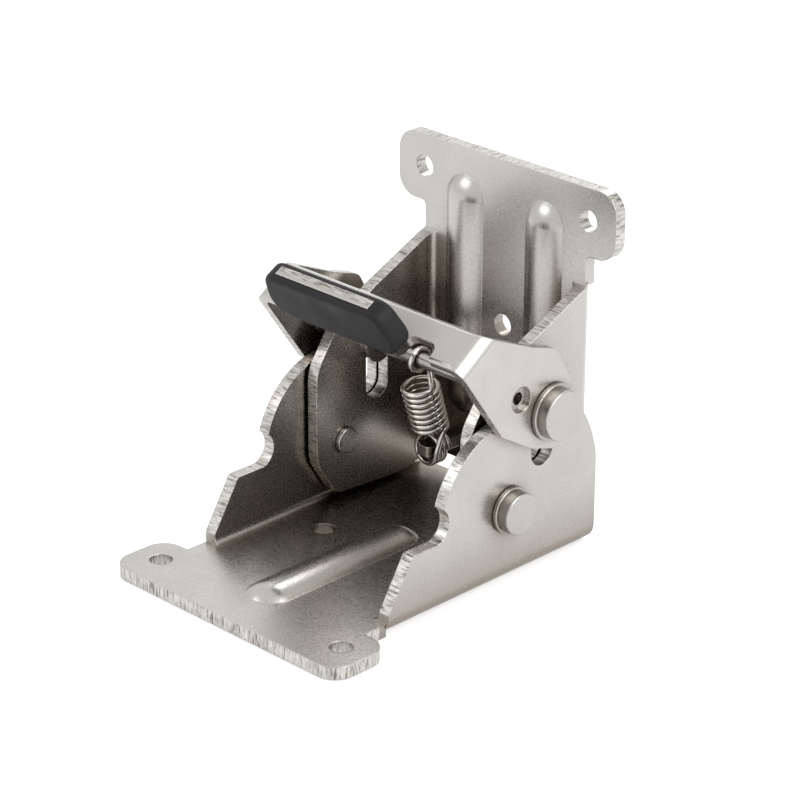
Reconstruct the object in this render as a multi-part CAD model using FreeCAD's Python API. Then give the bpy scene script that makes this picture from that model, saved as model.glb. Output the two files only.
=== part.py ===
import FreeCAD, Part
import math
import os

# Folding table leg bracket. Millimetres. X runs along the hinge, Z is up from the table board,
# and the origin is on the mounting face of the base bracket, straight below the hinge.

V = FreeCAD.Vector
X_AXIS = V(1, 0, 0)
Y_AXIS = V(0, 1, 0)
Z_AXIS = V(0, 0, 1)

# Sheet metal
sheet = 2.5
bend_radius = 1.4
lever_sheet = 2.0
lever_bend = 1.6

# Channels, one inside the other, and the lever outside both
leg_channel_width = 42.6
channel_gap = 0.6
lever_gap = 0.3

# Base bracket
base_front = 50.1
base_rear = 23.8
wing_depth = 13.5
wing_width = 60.0
wing_corner = 4.2
base_wall_front = 31.8
neck_relief = 0.7
rim_radius = 18.1
rear_radius = 24.0
shelf_height = 14.2
screw_hole = 4.4
base_screw_spacing = 48.2
base_screw_inset = 7.3
inner_screw_spacing = 24.0
inner_screw_line = 12.3

# Leg bracket
leg_plate_back = 26.1
leg_top = 70.8
leg_bottom = 7.0
leg_wing_width = 55.4
leg_wing_height = 13.4
leg_screw_spacing = 41.8
leg_screw_drop = 6.5
centre_screw_height = 37.6
leg_wall_front = 7.4
leg_wall_bottom = 3.4
leg_wall_top = 53.4
plate_overlap = 2.0

# Pressed stiffening beads
bead_width = 9.4
bead_height = 2.0
base_bead_front = 37.2
base_bead_rear = 5.6
leg_bead_spacing = 20.4
leg_bead_top = 60.6
leg_bead_bottom = 21.0

# Hinge rivets
hinge_height = 15.0
hinge_shank = 2.0
hinge_head = 4.1
hinge_head_height = 2.3
hinge_tail = 2.6
hinge_tail_height = 1.0
washer_rim = 0.5
washer_thickness = 1.0
running_clearance = 0.05
seat_gap = 0.1

# Lock rod, its bushes and its slots
rod_y = 8.6
rod_height = 32.8
rod_radius = 1.5
rod_head = 4.9
rod_head_height = 2.2
rod_washer_rim = 0.7
bush_radius = 2.85
bush_flange = 3.7
bush_flange_thickness = 0.9
slot_clearance = 0.08
slot_bottom = 21.2

# Release lever
web_back_y = -9.6
web_back_z = 52.6
web_length = 8.0
web_slope = 34.5
tongue_slope = 120.0
tongue_length = 12.8
tongue_width = 23.6
tongue_bend_inner = 1.2
tongue_bend_outer = 2.6
tongue_root = 2.0
web_notch_width = 7.0
web_notch_depth = 3.4
web_notch_corner = 1.8
boss_y = 0.2
boss_z = 37.6
boss_radius = 1.9
boss_length = 2.4
boss_recess = 1.2
dimple_radius = 2.5
dimple_depth = 0.9

# Grip on the tongue
grip_top_width = 29.0
grip_bottom_width = 35.0
grip_height = 11.0
grip_thickness = 4.6
grip_low_corner = 4.2
grip_corner = 3.4
grip_edge = 1.1
grip_top_inset = 0.15

# Spring and the finger that holds its lower end
wire = 0.55
coil_radius = 3.35
coil_turns = 8
coil_pitch = 1.28
coil_x = -7.5
coil_top_y = 8.9
coil_top_z = 27.4
coil_lean = 17.0
loop_radius = 2.9
loop_turns = 3
finger_width = 3.6
finger_tip_y = 9.6
finger_height = 13.2
finger_thickness = 2.2

# Dependent places
leg_half = leg_channel_width / 2
base_half = leg_half + channel_gap + sheet
cheek_inner = base_half + lever_gap
lever_half = cheek_inner + lever_sheet
leg_plate_front = leg_plate_back - sheet
bush_slot = bush_radius + slot_clearance
rod_hole = rod_radius + running_clearance


def rounded_face(points, radii, place):
    """Face with the given corners, each rounded by its radius; place maps (a, b) to a vector."""
    edges = []
    count = len(points)
    starts = []
    ends = []
    middles = []
    for i in range(count):
        a0, b0 = points[i - 1]
        a1, b1 = points[i]
        a2, b2 = points[(i + 1) % count]
        into = V(a0 - a1, b0 - b1, 0)
        out = V(a2 - a1, b2 - b1, 0)
        into.normalize()
        out.normalize()
        half = into.getAngle(out) / 2
        corner = V(a1, b1, 0)
        if radii[i] == 0:
            starts.append(corner)
            ends.append(corner)
            middles.append(None)
            continue
        cut = radii[i] / math.tan(half)
        bisector = into + out
        bisector.normalize()
        centre = corner + bisector * (radii[i] / math.sin(half))
        starts.append(corner + into * cut)
        ends.append(corner + out * cut)
        middles.append(centre - bisector * radii[i])
    for i in range(count):
        if middles[i] is not None:
            arc = [place(p.x, p.y) for p in (starts[i], middles[i], ends[i])]
            edges.append(Part.Arc(*arc).toShape())
        following = starts[(i + 1) % count]
        if (following - ends[i]).Length > 1e-6:
            line = Part.LineSegment(place(ends[i].x, ends[i].y), place(following.x, following.y))
            edges.append(line.toShape())
    return Part.Face(Part.Wire(edges))


def in_yz(x):
    return lambda a, b: V(x, a, b)


def in_xy(z):
    return lambda a, b: V(a, b, z)


def in_xz(y):
    return lambda a, b: V(a, y, b)


def rod_along_x(radius, x0, x1, y, z):
    return Part.makeCylinder(radius, x1 - x0, V(x0, y, z), X_AXIS)


def mirrored(shape):
    return shape.mirror(V(0, 0, 0), X_AXIS)


def channel_face(half, height, thickness, inner, place):
    """U section: a floor of full width with a wall at each side and round bends."""
    outer = inner + thickness
    points = [(-half, 0), (half, 0), (half, height), (half - thickness, height),
              (half - thickness, thickness), (thickness - half, thickness),
              (thickness - half, height), (-half, height)]
    radii = [outer, outer, 0, 0, inner, inner, 0, 0]
    return rounded_face(points, radii, place)


def bead(start, end, outward):
    """Ridge and hollow of a pressed bead that runs from start to end on a sheet's face."""
    radius = ((bead_width / 2) ** 2 + bead_height ** 2) / (2 * bead_height)
    depth = outward * (radius - bead_height)
    shapes = []
    for size in (radius, radius - sheet):
        axis = end - start
        body = Part.makeCylinder(size, axis.Length, start - depth, axis)
        for tip in (start, end):
            body = body.fuse(Part.makeSphere(size, tip - depth))
        shapes.append(body.removeSplitter())
    return shapes


def half_space(point, outward, size=200.0):
    """Large box on the outward side of a face."""
    box = Part.makeBox(size, size, size, V(-size / 2, -size / 2, 0))
    turn = FreeCAD.Rotation(Z_AXIS, outward)
    box.Placement = FreeCAD.Placement(point, turn)
    return box


def add_bead(plate, start, end, outward):
    """Press a bead into a plate whose outward face holds start and end."""
    ridge, hollow = bead(start, end, outward)
    ridge = ridge.common(half_space(start - outward * (sheet / 2), outward))
    return plate.fuse(ridge).cut(hollow)


def base_outline():
    """Side outline of the base walls, from the front corner up over the rim to the rear."""
    front = -base_wall_front
    tip_angle = math.radians(162)
    notch_front = rod_y - bush_slot
    notch_rear = rod_y + bush_slot
    notch_angle = math.acos(notch_front / rim_radius)
    crest = math.radians(52)
    tip = (rim_radius * math.cos(tip_angle), hinge_height + rim_radius * math.sin(tip_angle))
    lip = (notch_front, hinge_height + rim_radius * math.sin(notch_angle))
    crest_point = (rear_radius * math.cos(crest), hinge_height + rear_radius * math.sin(crest))
    rear_low = (base_rear, hinge_height - 2.6)
    shelf = shelf_height

    def arc(points):
        return Part.Arc(*[V(0, a, b) for a, b in points]).toShape()

    def line(first, second):
        return Part.LineSegment(V(0, *first), V(0, *second)).toShape()

    rim_middle = (tip_angle + notch_angle) / 2
    rim_point = (rim_radius * math.cos(rim_middle),
                 hinge_height + rim_radius * math.sin(rim_middle))
    reach = math.sqrt(rear_radius ** 2 - base_rear ** 2)
    rear_high = (base_rear, hinge_height + reach)
    rear_angle = (crest + math.atan2(reach, base_rear)) / 2
    rear_point = (rear_radius * math.cos(rear_angle),
                  hinge_height + rear_radius * math.sin(rear_angle))
    rear_lip = (notch_rear, crest_point[1] - 2.6)
    slot_floor = slot_bottom + bush_slot
    edges = [
        line((front, 0), (front + 0.6, 4.4)),
        line((front + 0.6, 4.4), (front + 6.0, shelf - 1.1)),
        arc([(front + 6.0, shelf - 1.1), (front + 6.45, shelf - 0.3), (front + 7.3, shelf)]),
        line((front + 7.3, shelf), (-18.6, shelf)),
        arc([(-18.6, shelf), (-16.2, shelf + 2.0), tip]),
        arc([tip, rim_point, lip]),
        line(lip, (notch_front, slot_floor)),
        arc([(notch_front, slot_floor), (rod_y, slot_bottom), (notch_rear, slot_floor)]),
        line((notch_rear, slot_floor), rear_lip),
        line(rear_lip, crest_point),
        arc([crest_point, rear_point, rear_high]),
        line(rear_high, rear_low),
        line(rear_low, (base_rear, 0)),
        line((base_rear, 0), (front, 0)),
    ]
    return Part.Face(Part.Wire(edges))


def make_base_bracket():
    length = base_wall_front + base_rear
    section = channel_face(base_half, 60, sheet, bend_radius, in_xz(-base_wall_front))
    channel = section.extrude(V(0, length, 0))
    side = base_outline()
    side.translate(V(-base_half, 0, 0))
    channel = channel.common(side.extrude(V(2 * base_half, 0, 0)))
    wing = wing_width / 2
    wing_rear = wing_depth - base_front
    neck = base_half - neck_relief
    points = [(-wing, -base_front), (wing, -base_front), (wing, wing_rear), (neck, wing_rear),
              (neck, -base_wall_front + 0.5), (-neck, -base_wall_front + 0.5),
              (-neck, wing_rear), (-wing, wing_rear)]
    radii = [wing_corner, wing_corner, wing_corner, 0.6, 0, 0, 0.6, wing_corner]
    plate = rounded_face(points, radii, in_xy(0)).extrude(V(0, 0, sheet))
    part = channel.fuse(plate).removeSplitter()
    part = add_bead(part, V(0, -base_bead_front, sheet), V(0, -base_bead_rear, sheet), Z_AXIS)
    holes = [(base_screw_spacing / 2, base_screw_inset - base_front),
             (inner_screw_spacing / 2, -inner_screw_line)]
    for x, y in holes:
        for sign in (-1, 1):
            drill = Part.makeCylinder(screw_hole / 2, 3 * sheet, V(sign * x, y, -sheet), Z_AXIS)
            part = part.cut(drill)
    shank = hinge_shank + running_clearance
    part = part.cut(rod_along_x(shank, -base_half - 1, base_half + 1, 0, hinge_height))
    return part


def leg_outline():
    """Side outline of the leg walls with their sloping top and rounded front."""
    back = leg_plate_back
    points = [(back, leg_bottom), (back, leg_wall_top), (leg_plate_front - 0.4, leg_wall_top - 2.0),
              (8.0, 44.5), (-2.0, 38.8), (-leg_wall_front, 31.0), (-leg_wall_front, 12.0),
              (-2.4, leg_wall_bottom + 0.9), (17.0, leg_wall_bottom - 0.3)]
    radii = [1.5, 0.8, 2.0, 6.0, 4.0, 8.0, 8.0, 3.0, 8.0]
    return rounded_face(points, radii, in_yz(-leg_half))


def slot_cutter(x0, x1, low, high):
    """Slot for the lock rod's bush, round at both ends."""
    box = Part.makeBox(x1 - x0, 2 * bush_slot, high - low, V(x0, rod_y - bush_slot, low))
    for end in (low, high):
        box = box.fuse(rod_along_x(bush_slot, x0, x1, rod_y, end))
    return box


def make_leg_bracket():
    section = channel_face(leg_half, 60, sheet, bend_radius,
                           lambda a, b: V(a, leg_plate_back - b, 0))
    channel = section.extrude(V(0, 0, leg_wall_top))
    channel = channel.common(leg_outline().extrude(V(2 * leg_half, 0, 0)))
    wing = leg_wing_width / 2
    neck = leg_half - neck_relief
    wing_low = leg_top - leg_wing_height
    points = [(-wing, leg_top), (wing, leg_top), (wing, wing_low), (neck, wing_low),
              (neck, leg_wall_top - plate_overlap), (-neck, leg_wall_top - plate_overlap),
              (-neck, wing_low), (-wing, wing_low)]
    radii = [wing_corner, wing_corner, wing_corner, 1.2, 0, 0, 1.2, wing_corner]
    plate = rounded_face(points, radii, in_xz(leg_plate_front)).extrude(V(0, sheet, 0))
    part = channel.fuse(plate).removeSplitter()
    inward = V(0, -1, 0)
    for sign in (-1, 1):
        x = sign * leg_bead_spacing / 2
        high = V(x, leg_plate_front, leg_bead_top)
        low = V(x, leg_plate_front, leg_bead_bottom)
        part = add_bead(part, high, low, inward)
    holes = [(-leg_screw_spacing / 2, leg_top - leg_screw_drop),
             (leg_screw_spacing / 2, leg_top - leg_screw_drop), (0, centre_screw_height)]
    for x, z in holes:
        start = V(x, leg_plate_front - sheet, z)
        part = part.cut(Part.makeCylinder(screw_hole / 2, 3 * sheet, start, Y_AXIS))
    shank = hinge_shank + running_clearance
    part = part.cut(rod_along_x(shank, -leg_half - 1, leg_half + 1, 0, hinge_height))
    part = part.cut(slot_cutter(-leg_half - 1, leg_half + 1, slot_bottom + bush_slot, rod_height))
    return part.fuse(make_finger()).removeSplitter()


def make_finger():
    """Tab that stands forward from the leg plate and holds the spring's lower end."""
    low = finger_height - finger_thickness / 2
    width = finger_width / 2
    size = V(finger_width, leg_plate_front + 0.5 - finger_tip_y, finger_thickness)
    start = V(coil_x - width, finger_tip_y, low)
    bar = Part.makeBox(size.x, size.y, size.z, start)
    corners = [edge for edge in bar.Edges if abs(edge.BoundBox.YMax - finger_tip_y) < 1e-6
               and edge.BoundBox.ZLength > 1]
    return bar.makeFillet(finger_width / 4, corners)


def hinge_rivet():
    """Right hinge rivet: head outside the base wall, tail inside the leg wall."""
    head_start = base_half + washer_thickness
    head = rod_along_x(hinge_head, head_start, head_start + hinge_head_height, 0, hinge_height)
    rim = [edge for edge in head.Edges if abs(edge.BoundBox.XMin - head.BoundBox.XMax) < 1e-6]
    head = head.makeFillet(0.4, rim)
    tail_start = leg_half - sheet - seat_gap - hinge_tail_height
    shank = rod_along_x(hinge_shank, tail_start, head_start + 0.5, 0, hinge_height)
    tail = rod_along_x(hinge_tail, tail_start, tail_start + hinge_tail_height, 0, hinge_height)
    rim = [edge for edge in tail.Edges if abs(edge.BoundBox.XMax - tail_start) < 1e-6]
    tail = tail.makeFillet(0.4, rim)
    return head.fuse(shank).fuse(tail).removeSplitter()


def washer(outer, inner, start, y, z):
    ring = rod_along_x(outer, start, start + washer_thickness, y, z)
    rims = [edge for edge in ring.Edges if edge.BoundBox.XLength < 1e-6]
    ring = ring.makeFillet(washer_thickness / 4, rims)
    return ring.cut(rod_along_x(inner, start - 1, start + washer_thickness + 1, y, z))


def lock_rod():
    """Rod across both channels with a flat head formed at each end."""
    head_start = lever_half + washer_thickness
    rod = rod_along_x(rod_radius, -head_start - 0.5, head_start + 0.5, rod_y, rod_height)
    head = rod_along_x(rod_head, head_start, head_start + rod_head_height, rod_y, rod_height)
    rim = [edge for edge in head.Edges if abs(edge.BoundBox.XMin - head.BoundBox.XMax) < 1e-6]
    head = head.makeFillet(0.4, rim)
    return rod.fuse(head).fuse(mirrored(head)).removeSplitter()


def rod_bush():
    """Right bush: a sleeve in the leg wall's slot with a flange on the wall's inner face."""
    inner_face = leg_half - sheet
    flange_start = inner_face - bush_flange_thickness
    sleeve = rod_along_x(bush_radius, flange_start, leg_half, rod_y, rod_height)
    flange = rod_along_x(bush_flange, flange_start, inner_face, rod_y, rod_height)
    bush = sleeve.fuse(flange).removeSplitter()
    return bush.cut(rod_along_x(rod_hole, flange_start - 1, leg_half + 1, rod_y, rod_height))


def tilted(angle):
    """Unit vector in the YZ plane, measured from +Y towards +Z in degrees."""
    return V(0, math.cos(math.radians(angle)), math.sin(math.radians(angle)))


def cheek_outline():
    """Side outline of the lever with its web, in Y and Z."""
    along = tilted(web_slope)
    front = V(0, web_back_y, web_back_z) - along * web_length
    collar = rod_head + rod_washer_rim - 0.2
    points = [(web_back_y, web_back_z), (front.y, front.z), (-4.6, 31.6), (3.4, 26.9),
              (rod_y + 1.0, rod_height - collar - 2.4), (rod_y + collar, rod_height - 3.0),
              (rod_y + collar, rod_height + 4.0), (9.6, 45.0), (3.0, 47.1)]
    radii = [1.0, 0.8, 2.0, 2.0, 1.5, 4.0, 3.0, 3.0, 6.0]
    return rounded_face(points, radii, in_yz(-lever_half))


def make_lever_yoke():
    """Sheet lever: a cheek outside each wall, a web across the top and a tongue bent up."""
    along = tilted(web_slope)
    normal = tilted(web_slope + 90)
    back = V(0, web_back_y, web_back_z)
    start = back - along * (web_length + 20)

    def place(a, b):
        return start + V(a, 0, 0) - normal * b

    section = channel_face(lever_half, 60, lever_sheet, lever_bend, place)
    yoke = section.extrude(along * 70)
    yoke = yoke.common(cheek_outline().extrude(V(2 * lever_half, 0, 0)))
    yoke = yoke.fuse(make_tongue()).removeSplitter()
    yoke = yoke.cut(web_notch(1)).cut(web_notch(-1))
    yoke = yoke.cut(rod_along_x(rod_hole, -lever_half - 1, lever_half + 1, rod_y, rod_height))
    for sign in (-1, 1):
        boss = rod_along_x(boss_radius, cheek_inner - boss_length, cheek_inner + 0.1, boss_y, boss_z)
        dimple = rod_along_x(dimple_radius, lever_half - dimple_depth, lever_half + 1, boss_y, boss_z)
        recess_start = cheek_inner - boss_length + boss_recess
        recess = rod_along_x(boss_recess, recess_start, lever_half + 1, boss_y, boss_z)
        if sign < 0:
            boss = mirrored(boss)
            dimple = mirrored(dimple)
            recess = mirrored(recess)
        yoke = yoke.fuse(boss).cut(dimple).cut(recess)
    return yoke


def tongue_frame():
    """Web's front edge, the tongue's rise and the side that its front face looks to."""
    along = tilted(web_slope)
    rise = tilted(tongue_slope)
    side = rise.cross(X_AXIS)
    side.normalize()
    if side.dot(along) > 0:
        side = side * -1
    front = V(0, web_back_y, web_back_z) - along * web_length
    return front, rise, side


def make_tongue():
    """Tongue that turns up from the web's front edge through a round bend."""
    front, rise, side = tongue_frame()
    along = tilted(web_slope)
    under = tilted(web_slope + 90) * lever_sheet
    root = V(0, web_back_y, web_back_z) - along * tongue_root
    top = front + rise * tongue_length
    outline = [root, front, top, top + side * lever_sheet,
               front - under + side * (lever_sheet - 0.4), root - under]
    radii = [0, tongue_bend_inner, 0, 0, tongue_bend_outer, 0]
    face = rounded_face([(p.y, p.z) for p in outline], radii, in_yz(-tongue_width / 2))
    return face.extrude(V(tongue_width, 0, 0))


def web_notch(hand):
    """Relief beside the tongue, cut back into the web's front edge."""
    along = tilted(web_slope)
    normal = tilted(web_slope + 90)
    lead = 3.0
    start = tongue_frame()[0] - along * lead + normal

    def place(a, b):
        return start + V(a * hand, 0, 0) + along * b

    near = tongue_width / 2
    far = near + web_notch_width
    back = web_notch_depth + lead
    points = [(near, 0), (far, 0), (far, back), (near, back)]
    radii = [0, 0, web_notch_corner, web_notch_corner]
    return rounded_face(points, radii, place).extrude(normal * (-2 * lever_sheet))


def make_grip():
    """Moulded grip around the tongue, open at the top so that the tongue's end shows."""
    front, rise, side = tongue_frame()
    top = front + rise * tongue_length + side * (lever_sheet / 2)
    half_top = grip_top_width / 2
    half_low = grip_bottom_width / 2

    def place(a, b):
        return top + V(a, 0, 0) + rise * b - side * (grip_thickness / 2)

    points = [(-half_top, -grip_top_inset), (half_top, -grip_top_inset),
              (half_low, -grip_height), (-half_low, -grip_height)]
    radii = [grip_corner, grip_corner, grip_low_corner, grip_low_corner]
    grip = rounded_face(points, radii, place).extrude(side * grip_thickness)
    rims = []
    for face in grip.Faces:
        flat = face.normalAt(0, 0)
        if abs(abs(flat.dot(side)) - 1) < 1e-6:
            rims.extend(face.Edges)
    grip = grip.makeFillet(grip_edge, rims)
    return grip.cut(make_tongue())


def helix_pipe(radius, pitch, turns, placement):
    path = Part.makeHelix(pitch, pitch * turns, radius)
    section = Part.Wire(Part.makeCircle(wire, V(radius, 0, 0), Y_AXIS))
    coil = Part.Wire(path.Edges).makePipeShell([section], True, True)
    coil.Placement = placement
    return coil


def bar_between(first, second):
    axis = second - first
    bar = Part.makeCylinder(wire, axis.Length, first, axis)
    for tip in (first, second):
        bar = bar.fuse(Part.makeSphere(wire, tip))
    return bar


def make_spring():
    """Close coil with a ring round the lock rod and turns round the finger."""
    down = V(0, math.sin(math.radians(coil_lean)), -math.cos(math.radians(coil_lean)))
    top = V(coil_x, coil_top_y, coil_top_z)
    turn = FreeCAD.Rotation(Z_AXIS, down)
    coil = helix_pipe(coil_radius, coil_pitch, coil_turns, FreeCAD.Placement(top, turn))
    ring_radius = rod_radius + running_clearance + wire + 0.2
    ring_centre = V(coil_x, rod_y, rod_height - 0.2)
    ring = Part.makeTorus(ring_radius, wire, ring_centre, X_AXIS)
    coil_start = top + turn.multVec(V(coil_radius, 0, 0))
    ring_foot = ring_centre - Z_AXIS * ring_radius
    shapes = [ring.fuse(bar_between(coil_start, ring_foot))]
    coil_end = top + down * (coil_pitch * coil_turns) + turn.multVec(V(coil_radius, 0, 0))
    loop_start = V(coil_x, finger_tip_y + 1.0, finger_height)
    loop_turn = FreeCAD.Rotation(Z_AXIS, Y_AXIS)
    loops = helix_pipe(loop_radius, 2.2 * wire, loop_turns, FreeCAD.Placement(loop_start, loop_turn))
    first = loop_start + loop_turn.multVec(V(loop_radius, 0, 0))
    shapes.append(bar_between(coil_end, first))
    return Part.makeCompound([coil, loops] + shapes)


def build():
    nodes = {
        "base_bracket": make_base_bracket(),
        "leg_bracket": make_leg_bracket(),
        "lever_yoke": make_lever_yoke(),
        "lever_grip": make_grip(),
        "lock_rod": lock_rod(),
        "lock_spring": make_spring(),
    }
    hinge_outer = hinge_head + washer_rim
    rod_outer = rod_head + rod_washer_rim
    pairs = {
        "hinge_rivet": hinge_rivet(),
        "hinge_washer": washer(hinge_outer, hinge_shank + running_clearance, base_half, 0,
                               hinge_height),
        "rod_bush": rod_bush(),
        "rod_washer": washer(rod_outer, rod_hole, lever_half, rod_y, rod_height),
    }
    for name, shape in pairs.items():
        nodes[name + "_right"] = shape
        nodes[name + "_left"] = mirrored(shape)
    return nodes


os.makedirs("parts", exist_ok=True)
for name, shape in build().items():
    shape.exportStep("parts/" + name + ".step")
    print(name, shape.isValid(), len(shape.Solids), round(shape.Volume, 1))
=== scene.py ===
import math

import bpy
from mathutils import Matrix, Vector


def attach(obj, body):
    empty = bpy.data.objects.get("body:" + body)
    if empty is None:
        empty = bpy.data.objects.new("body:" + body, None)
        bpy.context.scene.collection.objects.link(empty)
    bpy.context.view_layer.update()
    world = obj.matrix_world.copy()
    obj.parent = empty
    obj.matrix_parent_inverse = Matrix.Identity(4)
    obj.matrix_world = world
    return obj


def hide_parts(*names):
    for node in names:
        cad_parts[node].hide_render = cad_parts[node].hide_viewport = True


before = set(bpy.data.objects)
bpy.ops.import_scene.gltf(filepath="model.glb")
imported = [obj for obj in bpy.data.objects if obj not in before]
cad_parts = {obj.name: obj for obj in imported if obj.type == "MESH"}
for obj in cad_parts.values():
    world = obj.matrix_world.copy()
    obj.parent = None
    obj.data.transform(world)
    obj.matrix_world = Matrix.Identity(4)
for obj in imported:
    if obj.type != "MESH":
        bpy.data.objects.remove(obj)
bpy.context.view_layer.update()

# Camera, as the photograph was taken
CAMERA_AZIMUTH = 44.73
CAMERA_ELEVATION = 23.98
CAMERA_ROLL = 0.24
CAMERA_PLACE = (0.38157, -0.38920, 0.27168)
FOCAL_PIXELS = 3192.0
IMAGE_PIXELS = 800.0
SENSOR_WIDTH = 36.0

# Lock spring, the same sizes as the bracket's own
WIRE = 0.00055
COIL_RADIUS = 0.00335
COIL_TURNS = 8
COIL_PITCH = 0.00128
COIL_TOP = Vector((-0.0075, 0.0089, 0.0274))
COIL_LEAN = math.radians(17.0)
RING_CENTRE = Vector((-0.0075, 0.0086, 0.0326))
RING_RADIUS = 0.0023
LOOP_CENTRE = Vector((-0.0075, 0.0106, 0.0132))
LOOP_RADIUS = 0.0029
LOOP_TURNS = 3
LOOP_PITCH = 0.00121
POINTS_A_TURN = 20


def new_material(name):
    material = bpy.data.materials.new(name)
    material.use_nodes = True
    nodes = material.node_tree.nodes
    nodes.clear()
    output = nodes.new("ShaderNodeOutputMaterial")
    shader = nodes.new("ShaderNodeBsdfPrincipled")
    material.node_tree.links.new(shader.outputs["BSDF"], output.inputs["Surface"])
    return material, nodes, material.node_tree.links, shader


def noise(nodes, links, scale, detail=4.0, stretch=(1, 1, 1), roughness=0.5):
    """Noise in the object's own space, in cells a metre."""
    place = nodes.new("ShaderNodeTexCoord")
    mapping = nodes.new("ShaderNodeMapping")
    mapping.inputs["Scale"].default_value = stretch
    texture = nodes.new("ShaderNodeTexNoise")
    texture.inputs["Scale"].default_value = scale
    texture.inputs["Detail"].default_value = detail
    texture.inputs["Roughness"].default_value = roughness
    links.new(place.outputs["Object"], mapping.inputs["Vector"])
    links.new(mapping.outputs["Vector"], texture.inputs["Vector"])
    return texture.outputs["Fac"]


def ramp(nodes, links, source, stops):
    node = nodes.new("ShaderNodeValToRGB")
    elements = node.color_ramp.elements
    while len(elements) < len(stops):
        elements.new(0.5)
    for element, (position, colour) in zip(elements, stops):
        element.position = position
        element.color = (*colour, 1.0)
    links.new(source, node.inputs["Fac"])
    return node.outputs["Color"]


def grey(value):
    return (value, value, value)


def bump_stack(nodes, links, shader, layers, edge):
    """Chain of bumps over rounded edges: each layer is a height, a strength and a depth."""
    bevel = nodes.new("ShaderNodeBevel")
    bevel.samples = 6
    bevel.inputs["Radius"].default_value = edge
    normal = bevel.outputs["Normal"]
    for height, strength, depth in layers:
        bump = nodes.new("ShaderNodeBump")
        bump.inputs["Strength"].default_value = strength
        bump.inputs["Distance"].default_value = depth
        links.new(height, bump.inputs["Height"])
        links.new(normal, bump.inputs["Normal"])
        normal = bump.outputs["Normal"]
    links.new(normal, shader.inputs["Normal"])


def painted_recess_shade(nodes, links, colour, shade, reach):
    """Painted shade: darker, browner colour, driven by ambient occlusion, where the sheet is closed in by its own
    walls.
    """
    recess_occlusion = nodes.new("ShaderNodeAmbientOcclusion")
    recess_occlusion.samples = 8
    recess_occlusion.inputs["Distance"].default_value = reach
    amount = ramp(nodes, links, recess_occlusion.outputs["AO"], [(0.25, grey(0.0)), (0.9, grey(1.0))])
    mix = nodes.new("ShaderNodeMixRGB")
    mix.inputs["Color1"].default_value = (*shade, 1.0)
    links.new(amount, mix.inputs["Fac"])
    links.new(colour, mix.inputs["Color2"])
    return mix.outputs["Color"]


def calculate(nodes, links, value, operation, other):
    node = nodes.new("ShaderNodeMath")
    node.operation = operation
    node.inputs[1].default_value = other
    links.new(value, node.inputs[0])
    return node.outputs["Value"]


def join(nodes, links, first, second, operation):
    node = nodes.new("ShaderNodeMath")
    node.operation = operation
    links.new(first, node.inputs[0])
    links.new(second, node.inputs[1])
    return node.outputs["Value"]


def split_axes(nodes, links, source):
    """Sizes along each axis, without their signs, and the plain values."""
    split = nodes.new("ShaderNodeSeparateXYZ")
    links.new(source, split.inputs["Vector"])
    plain = [split.outputs[axis] for axis in "XYZ"]
    return [calculate(nodes, links, value, "ABSOLUTE", 0.0) for value in plain], plain


def sheared_edges(nodes, links, colour, zones):
    """Torn streaks across the sheet's cut edges.

    A zone is the axis of the sheet's thickness and its limits: whether the sign is kept,
    the axis, above or below, and the place in metres.
    """
    place = nodes.new("ShaderNodeTexCoord")
    far, plain = split_axes(nodes, links, place.outputs["Object"])
    lean, _ = split_axes(nodes, links, place.outputs["Normal"])
    for thickness, limits in zones:
        mask = calculate(nodes, links, lean[thickness], "LESS_THAN", 0.5)
        for signed, axis, operation, limit in limits:
            value = (plain if signed else far)[axis]
            mask = join(nodes, links, mask, calculate(nodes, links, value, operation, limit), "MULTIPLY")
        stretch = [1.0, 1.0, 1.0]
        stretch[thickness] = 0.16
        streak = noise(nodes, links, 2400.0, 3.0, tuple(stretch), 0.6)
        torn = ramp(nodes, links, streak, [(0.34, (0.20, 0.18, 0.155)), (0.46, (0.47, 0.45, 0.42)), (0.72, (0.70, 0.68, 0.64))])
        mix = nodes.new("ShaderNodeMixRGB")
        links.new(mask, mix.inputs["Fac"])
        links.new(colour, mix.inputs["Color1"])
        links.new(torn, mix.inputs["Color2"])
        colour = mix.outputs["Color"]
    return colour


def nickel(name, tint, shade, rough_low, rough_high, grain, edge=0.0003, zones=()):
    """Nickel plate: warm metal with cloudy tone, fine grain and painted shade in its recesses."""
    material, nodes, links, shader = new_material(name)
    shader.inputs["Metallic"].default_value = 1.0
    shader.inputs["Specular IOR Level"].default_value = 0.5
    cloud = noise(nodes, links, 90.0, 5.0)
    dark = tuple(c * 0.9 for c in tint)
    colour = ramp(nodes, links, cloud, [(0.3, dark), (0.7, tint)])
    # Painted shade: the colour is pulled towards the shade colour in recesses by ambient occlusion.
    colour = painted_recess_shade(nodes, links, colour, shade, 0.022)
    if zones:
        colour = sheared_edges(nodes, links, colour, zones)
    links.new(colour, shader.inputs["Base Color"])
    speckle = noise(nodes, links, 2600.0, 3.0, roughness=0.6)
    rough = ramp(nodes, links, speckle, [(0.3, grey(rough_low)), (0.75, grey(rough_high))])
    links.new(rough, shader.inputs["Roughness"])
    rolled = noise(nodes, links, 420.0, 4.0, (1.0, 1.0, 0.35))
    bump_stack(nodes, links, shader, [(speckle, grain, 0.00001), (rolled, grain, 0.00003)], edge)
    return material


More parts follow.
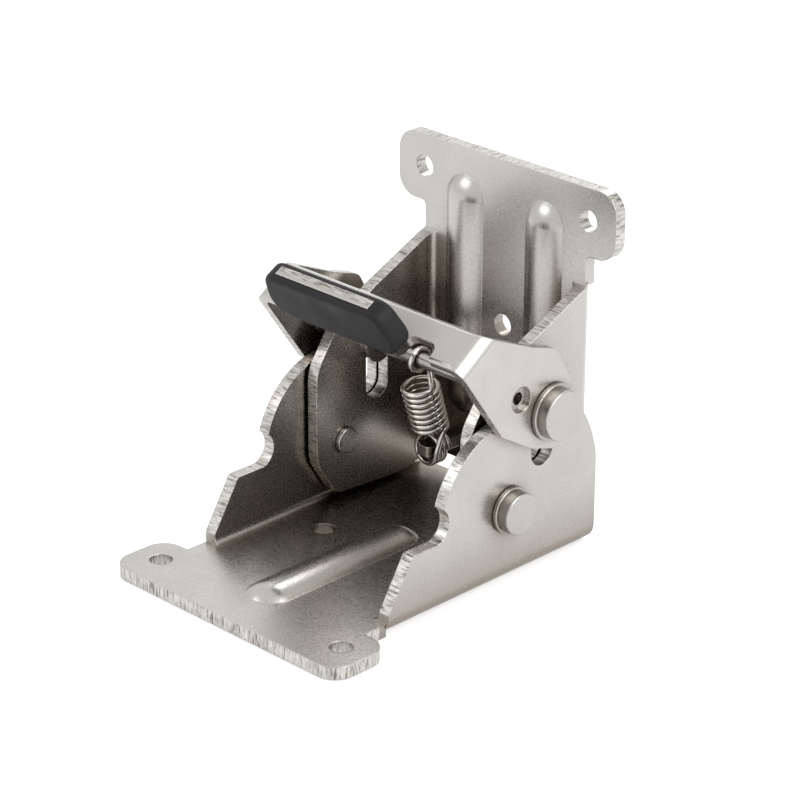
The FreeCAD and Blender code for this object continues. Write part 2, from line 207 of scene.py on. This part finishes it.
def grip_material():
    """Black moulded grip with a fine mould texture and faint scuffs."""
    material, nodes, links, shader = new_material("grip_black")
    shader.inputs["Specular IOR Level"].default_value = 0.3
    mottle = noise(nodes, links, 160.0, 4.0)
    colour = ramp(nodes, links, mottle, [(0.35, (0.008, 0.008, 0.009)), (0.7, (0.013, 0.013, 0.014))])
    links.new(colour, shader.inputs["Base Color"])
    fine = noise(nodes, links, 5200.0, 2.0)
    rough = ramp(nodes, links, mottle, [(0.3, grey(0.50)), (0.7, grey(0.64))])
    links.new(rough, shader.inputs["Roughness"])
    bump_stack(nodes, links, shader, [(fine, 0.25, 0.00003)], 0.0003)
    return material


def assign(obj, material):
    if not obj.material_slots:
        obj.data.materials.append(material)
    for held in obj.material_slots:
        held.material = material


def spring_points():
    """Centre line of the spring wire: ring on the rod, coil, then turns round the finger."""
    down = Vector((0, math.sin(COIL_LEAN), -math.cos(COIL_LEAN)))
    side = Vector((1, 0, 0))
    across = down.cross(side)
    points = []
    steps = POINTS_A_TURN
    ring_steps = int(steps * 0.95)
    for i in range(ring_steps):
        angle = math.radians(-60) - 2 * math.pi * i / steps
        offset = Vector((0.0004 * i / ring_steps, math.cos(angle), math.sin(angle)))
        offset.y *= RING_RADIUS
        offset.z *= RING_RADIUS
        points.append(RING_CENTRE + offset)
    for i in range(COIL_TURNS * steps + 1):
        angle = 2 * math.pi * i / steps
        along = down * (COIL_PITCH * i / steps)
        points.append(COIL_TOP + along + (side * math.cos(angle) + across * math.sin(angle)) * COIL_RADIUS)
    for i in range(LOOP_TURNS * steps + 1):
        angle = 2 * math.pi * i / steps
        along = Vector((0, LOOP_PITCH * i / steps, 0))
        turn = Vector((math.cos(angle), 0, -math.sin(angle))) * LOOP_RADIUS
        points.append(LOOP_CENTRE + along + turn)
    return points


def make_spring(material):
    curve = bpy.data.curves.new("spring_wire", "CURVE")
    curve.dimensions = "3D"
    curve.bevel_depth = WIRE
    curve.bevel_resolution = 5
    curve.resolution_u = 3
    curve.use_fill_caps = True
    points = spring_points()
    spline = curve.splines.new("NURBS")
    spline.points.add(len(points) - 1)
    for held, point in zip(spline.points, points):
        held.co = (*point, 1.0)
    spline.order_u = 3
    spline.use_endpoint_u = True
    spring = bpy.data.objects.new("spring_wire", curve)
    bpy.context.scene.collection.objects.link(spring)
    curve.materials.append(material)
    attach(spring, "leg")
    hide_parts("lock_spring")
    return spring


def camera_axes():
    azimuth = math.radians(CAMERA_AZIMUTH)
    elevation = math.radians(CAMERA_ELEVATION)
    roll = math.radians(CAMERA_ROLL)
    view = Vector((-math.sin(azimuth) * math.cos(elevation),
                   math.cos(azimuth) * math.cos(elevation), -math.sin(elevation)))
    level = Vector((math.cos(azimuth), math.sin(azimuth), 0.0))
    upright = level.cross(view)
    right = level * math.cos(roll) + upright * math.sin(roll)
    up = upright * math.cos(roll) - level * math.sin(roll)
    return right, up, view


def make_camera():
    data = bpy.data.cameras.new("camera")
    data.sensor_width = SENSOR_WIDTH
    data.lens = FOCAL_PIXELS / IMAGE_PIXELS * SENSOR_WIDTH
    data.clip_start = 0.01
    camera = bpy.data.objects.new("camera", data)
    bpy.context.scene.collection.objects.link(camera)
    right, up, view = camera_axes()
    turn = Matrix((right, up, -view)).transposed()
    camera.matrix_world = Matrix.Translation(Vector(CAMERA_PLACE)) @ turn.to_4x4()
    bpy.context.scene.camera = camera


def area_light(name, place, target, size, power, colour=(1, 1, 1)):
    data = bpy.data.lights.new(name, "AREA")
    data.shape = "RECTANGLE"
    data.size = size[0]
    data.size_y = size[1]
    data.energy = power
    data.color = colour
    light = bpy.data.objects.new(name, data)
    bpy.context.scene.collection.objects.link(light)
    light.location = place
    aim = Vector(target) - Vector(place)
    light.rotation_euler = aim.to_track_quat("-Z", "Y").to_euler()


def seen_rays(nodes, links):
    """One for rays from the camera and for those that mirror or pass through a surface."""
    path = nodes.new("ShaderNodeLightPath")
    seen = join(nodes, links, path.outputs["Is Camera Ray"], path.outputs["Is Glossy Ray"], "MAXIMUM")
    return join(nodes, links, seen, path.outputs["Is Transmission Ray"], "MAXIMUM")


def make_world():
    """White where the camera sees it, softer where it only lights the part."""
    world = bpy.data.worlds.new("studio")
    world.use_nodes = True
    nodes = world.node_tree.nodes
    links = world.node_tree.links
    nodes.clear()
    output = nodes.new("ShaderNodeOutputWorld")
    mix = nodes.new("ShaderNodeMixShader")
    seen = nodes.new("ShaderNodeBackground")
    lighting = nodes.new("ShaderNodeBackground")
    seen.inputs["Color"].default_value = (1, 1, 1, 1)
    lighting.inputs["Color"].default_value = (0.92, 0.95, 1.0, 1)
    lighting.inputs["Strength"].default_value = 0.42
    links.new(seen_rays(nodes, links), mix.inputs["Fac"])
    links.new(lighting.outputs["Background"], mix.inputs[1])
    links.new(seen.outputs["Background"], mix.inputs[2])
    links.new(mix.outputs["Shader"], output.inputs["Surface"])
    bpy.context.scene.world = world


def make_floor():
    """White table under the part that keeps its soft shadow."""
    mesh = bpy.data.meshes.new("floor")
    half = 1.5
    corners = [(-half, -half, -0.0002), (half, -half, -0.0002), (half, half, -0.0002), (-half, half, -0.0002)]
    mesh.from_pydata(corners, [], [(0, 1, 2, 3)])
    floor = bpy.data.objects.new("floor", mesh)
    bpy.context.scene.collection.objects.link(floor)
    material, nodes, links, shader = new_material("floor_white")
    shader.inputs["Base Color"].default_value = (0.74, 0.74, 0.74, 1)
    shader.inputs["Roughness"].default_value = 0.6
    shader.inputs["Emission Color"].default_value = (1, 1, 1, 1)
    lift = calculate(nodes, links, seen_rays(nodes, links), "MULTIPLY", 0.6)
    links.new(lift, shader.inputs["Emission Strength"])
    mesh.materials.append(material)


make_camera()
make_world()
make_floor()
area_light("key", (0.55, 0.05, 0.45), (0, 0, 0.03), (0.5, 0.5), 2.6)
area_light("fill", (-0.35, -0.55, 0.5), (0, 0, 0.03), (0.45, 0.3), 0.9)
area_light("back", (-0.3, 0.5, 0.6), (0, 0, 0.04), (0.4, 0.3), 1.2)

ABOVE, BELOW = "GREATER_THAN", "LESS_THAN"
SHEARED = {
    "base_bracket": [
        (0, [(False, 0, ABOVE, 0.0215), (True, 2, ABOVE, 0.0042)]),
        (2, [(True, 2, BELOW, 0.0026), (True, 1, BELOW, -0.0330)])],
    "leg_bracket": [
        (0, [(False, 0, ABOVE, 0.0185), (True, 1, BELOW, 0.0218)]),
        (1, [(True, 1, ABOVE, 0.0235), (True, 2, ABOVE, 0.0575)])],
    "lever_yoke": [
        (0, [(False, 0, ABOVE, 0.0245), (True, 2, BELOW, 0.0440)]),
        (0, [(False, 0, BELOW, 0.0130), (True, 2, ABOVE, 0.0585)])],
}
# The second colour of each nickel is the painted recess shade colour, not a plate colour.
sheet_metal = {name: nickel("nickel_" + name, (0.53, 0.51, 0.48), (0.18, 0.15, 0.115), 0.22, 0.36, 0.3, zones=zones)
               for name, zones in SHEARED.items()}
pin_metal = nickel("nickel_pin", (0.50, 0.485, 0.46), (0.22, 0.19, 0.16), 0.24, 0.34, 0.12, 0.0002)
wire_metal = nickel("spring_plate", (0.70, 0.68, 0.64), (0.42, 0.38, 0.33), 0.16, 0.28, 0.08, 0.0001)
grip_black = grip_material()
for name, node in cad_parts.items():
    if name in sheet_metal:
        assign(node, sheet_metal[name])
    elif name == "lever_grip":
        assign(node, grip_black)
    else:
        assign(node, pin_metal)
make_spring(wire_metal)

bpy.context.scene.view_settings.view_transform = "Standard"
